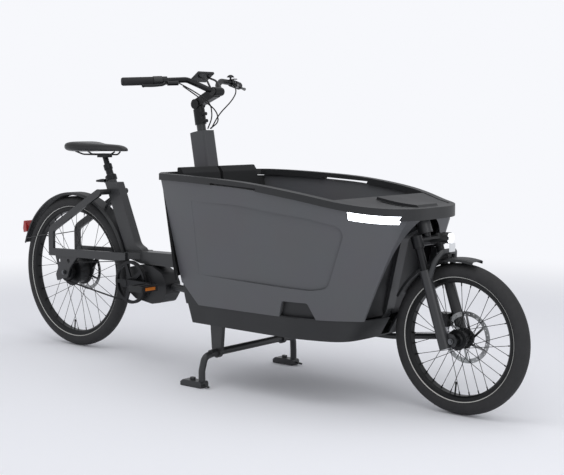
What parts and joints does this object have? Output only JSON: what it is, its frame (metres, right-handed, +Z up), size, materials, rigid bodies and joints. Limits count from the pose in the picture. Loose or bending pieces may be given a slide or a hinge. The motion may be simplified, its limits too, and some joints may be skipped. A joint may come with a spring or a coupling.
{
  "type": "cargo bicycle",
  "caption": "Front-loading electric cargo bicycle with a tapered box between the handlebar and a small front wheel, link steering, belt drive and a centre stand.",
  "frame": {"origin": "on the ground under the middle of the bicycle's whole length and width", "axes": "+X forward, +Y to the rider's left, +Z up"},
  "size_m": [2.5979, 0.6996, 1.1939],
  "materials": {
    "frame_paint": "satin",
    "panel_grey": "satin",
    "black_plastic": "satin",
    "tyre_rubber": "matte",
    "black_alloy": "satin",
    "spoke_steel": "satin",
    "disc_steel": "brushed",
    "axle_steel": "satin",
    "red_lens": "gloss",
    "lamp_white": "gloss",
    "belt_rubber": "matte",
    "grip_rubber": "matte",
    "saddle_cover": "satin",
    "pedal_plastic": "satin",
    "battery_case": "satin",
    "bench_foam": "matte",
    "bell_metal": "gloss"
  },
  "bodies": {
    "frame": {"main_frame": "frame_paint", "rear_stays": "frame_paint", "rear_mudguard": "black_plastic", "rear_light": "red_lens", "rear_caliper": "black_alloy", "motor": "black_plastic", "seat_clamp": "black_alloy", "belt": "belt_rubber", "rear_axle": "axle_steel", "left_side_panel": "panel_grey", "right_side_panel": "panel_grey", "box_lamps": "lamp_white", "base_tray": "black_plastic", "battery": "battery_case", "box_rim": "black_plastic", "front_hood": "black_plastic", "box_liner": "black_plastic", "bench_backrests": "bench_foam", "steering_housing": "panel_grey", "steering_bearings": "axle_steel"},
    "column": {"steering_column": "frame_paint", "stem": "black_alloy", "handlebar": "black_alloy", "grips": "grip_rubber", "brake_masters": "black_alloy", "display": "black_plastic", "bell": "bell_metal", "control_cables": "belt_rubber"},
    "rod_yoke": {"rod_yoke": "black_alloy"},
    "steering_rod": {"steering_rod": "frame_paint"},
    "fork_upper": {"fork_crown": "black_alloy", "headlight": "lamp_white"},
    "fork_lower": {"fork_lowers": "frame_paint", "front_mudguard": "black_plastic", "front_caliper": "black_alloy", "front_axle": "axle_steel"},
    "front_wheel": {"front_tyre": "tyre_rubber", "front_rim": "black_alloy", "front_spokes": "spoke_steel", "front_hub": "black_alloy", "front_disc": "disc_steel"},
    "rear_wheel": {"rear_tyre": "tyre_rubber", "rear_rim": "black_alloy", "rear_spokes": "spoke_steel", "rear_hub": "black_alloy", "rear_disc": "disc_steel"},
    "sprocket": {"sprocket": "black_alloy"},
    "crank": {"crankset": "black_alloy", "chainring": "black_alloy"},
    "pedal_right": {"pedal_right": "pedal_plastic"},
    "pedal_left": {"pedal_left": "pedal_plastic"},
    "seatpost": {"seatpost": "black_alloy", "saddle": "saddle_cover"},
    "seat_lever": {"seat_lever": "black_alloy"},
    "bench_seat": {"bench_seat": "bench_foam"},
    "twist_shifter": {"twist_shifter": "black_plastic"},
    "brake_lever_right": {"brake_lever_right": "black_alloy"},
    "brake_lever_left": {"brake_lever_left": "black_alloy"},
    "bell_lever": {"bell_lever": "bell_metal"},
    "stand": {"stand": "frame_paint"}
  },
  "joints": [
    {"name": "steering", "type": "hinge", "parent": "frame", "child": "column", "pos_m": [-0.156, 0, 0.885], "axis": [-0.1736, 0, 0.9848], "range_deg": [-19, 19]},
    {"name": "fork_steer", "type": "hinge", "parent": "frame", "child": "fork_upper", "pos_m": [0.89853, 0, 0.6], "axis": [-0.309, 0, 0.9511], "range_deg": [-20, 20]},
    {"name": "rod_turn", "type": "hinge", "parent": "column", "child": "rod_yoke", "pos_m": [-0.07514, 0.118, 0.19605], "axis": [-0.1736, 0, 0.9848], "range_deg": [-20, 20]},
    {"name": "rod_tilt", "type": "hinge", "parent": "rod_yoke", "child": "steering_rod", "pos_m": [-0.07601, 0.118, 0.20098], "axis": [0, 1, 0], "range_deg": [-1.5, 0.5]},
    {"name": "fork_travel", "type": "slide", "parent": "fork_upper", "child": "fork_lower", "axis": [-0.309, 0, 0.9511], "range_m": [0, 0.014], "stiffness_N_per_m": 9000, "springref_m": -0.04},
    {"name": "front_wheel_spin", "type": "hinge", "parent": "fork_lower", "child": "front_wheel", "pos_m": [1.039, 0, 0.26], "axis": [0, 1, 0], "continuous": true},
    {"name": "rear_wheel_spin", "type": "hinge", "parent": "frame", "child": "rear_wheel", "pos_m": [-0.941, 0, 0.334], "axis": [0, 1, 0], "continuous": true},
    {"name": "crank_spin", "type": "hinge", "parent": "frame", "child": "crank", "pos_m": [-0.529, 0, 0.324], "axis": [0, 1, 0], "continuous": true},
    {"name": "sprocket_spin", "type": "hinge", "parent": "frame", "child": "sprocket", "pos_m": [-0.941, 0, 0.334], "axis": [0, 1, 0], "continuous": true},
    {"name": "pedal_right_spin", "type": "hinge", "parent": "crank", "child": "pedal_right", "pos_m": [-0.359, -0.15, 0.324], "axis": [0, 1, 0], "continuous": true},
    {"name": "pedal_left_spin", "type": "hinge", "parent": "crank", "child": "pedal_left", "pos_m": [-0.699, 0.15, 0.324], "axis": [0, 1, 0], "continuous": true},
    {"name": "saddle_height", "type": "slide", "parent": "frame", "child": "seatpost", "axis": [-0.3875, 0, 0.9219], "range_m": [-0.02, 0.12]},
    {"name": "seat_lever_open", "type": "hinge", "parent": "frame", "child": "seat_lever", "pos_m": [-0.74107, 0, 0.74282], "axis": [0, 1, 0], "range_deg": [-60, 0]},
    {"name": "bench_fold", "type": "hinge", "parent": "frame", "child": "bench_seat", "pos_m": [-0.015, 0, 0.48], "axis": [0, -1, 0], "range_deg": [0, 70]},
    {"name": "shifter_twist", "type": "hinge", "parent": "column", "child": "twist_shifter", "pos_m": [-0.18129, -0.19293, 1.15401], "axis": [-0.5287, -0.848, -0.0366], "range_deg": [0, 120]},
    {"name": "brake_pull_right", "type": "hinge", "parent": "column", "child": "brake_lever_right", "pos_m": [-0.16404, -0.20819, 1.1422], "axis": [-0.3704, 0.2693, -0.889], "range_deg": [0, 9], "stiffness_Nm_per_rad": 2, "springref_deg": -11.46},
    {"name": "brake_pull_left", "type": "hinge", "parent": "column", "child": "brake_lever_left", "pos_m": [-0.16404, 0.20819, 1.1422], "axis": [0.3704, 0.2693, 0.889], "range_deg": [0, 9], "stiffness_Nm_per_rad": 2, "springref_deg": -11.46},
    {"name": "bell_flick", "type": "hinge", "parent": "column", "child": "bell_lever", "pos_m": [-0.15249, 0.17318, 1.16803], "axis": [0, 0, 1], "range_deg": [0, 12], "stiffness_Nm_per_rad": 0.05, "springref_deg": -11.46},
    {"name": "stand_fold", "type": "hinge", "parent": "frame", "child": "stand", "pos_m": [0.089, 0, 0.124], "axis": [0, 1, 0], "range_deg": [0, 85]}
  ],
  "couplings": [
    {"joint": "fork_steer", "follows": "steering", "ratio": 1},
    {"joint": "rod_turn", "follows": "steering", "ratio": -1},
    {"joint": "rod_tilt", "follows": "fork_travel", "rad_per_m": -0.9071},
    {"joint": "sprocket_spin", "follows": "crank_spin", "ratio": 2.2727}
  ]
}
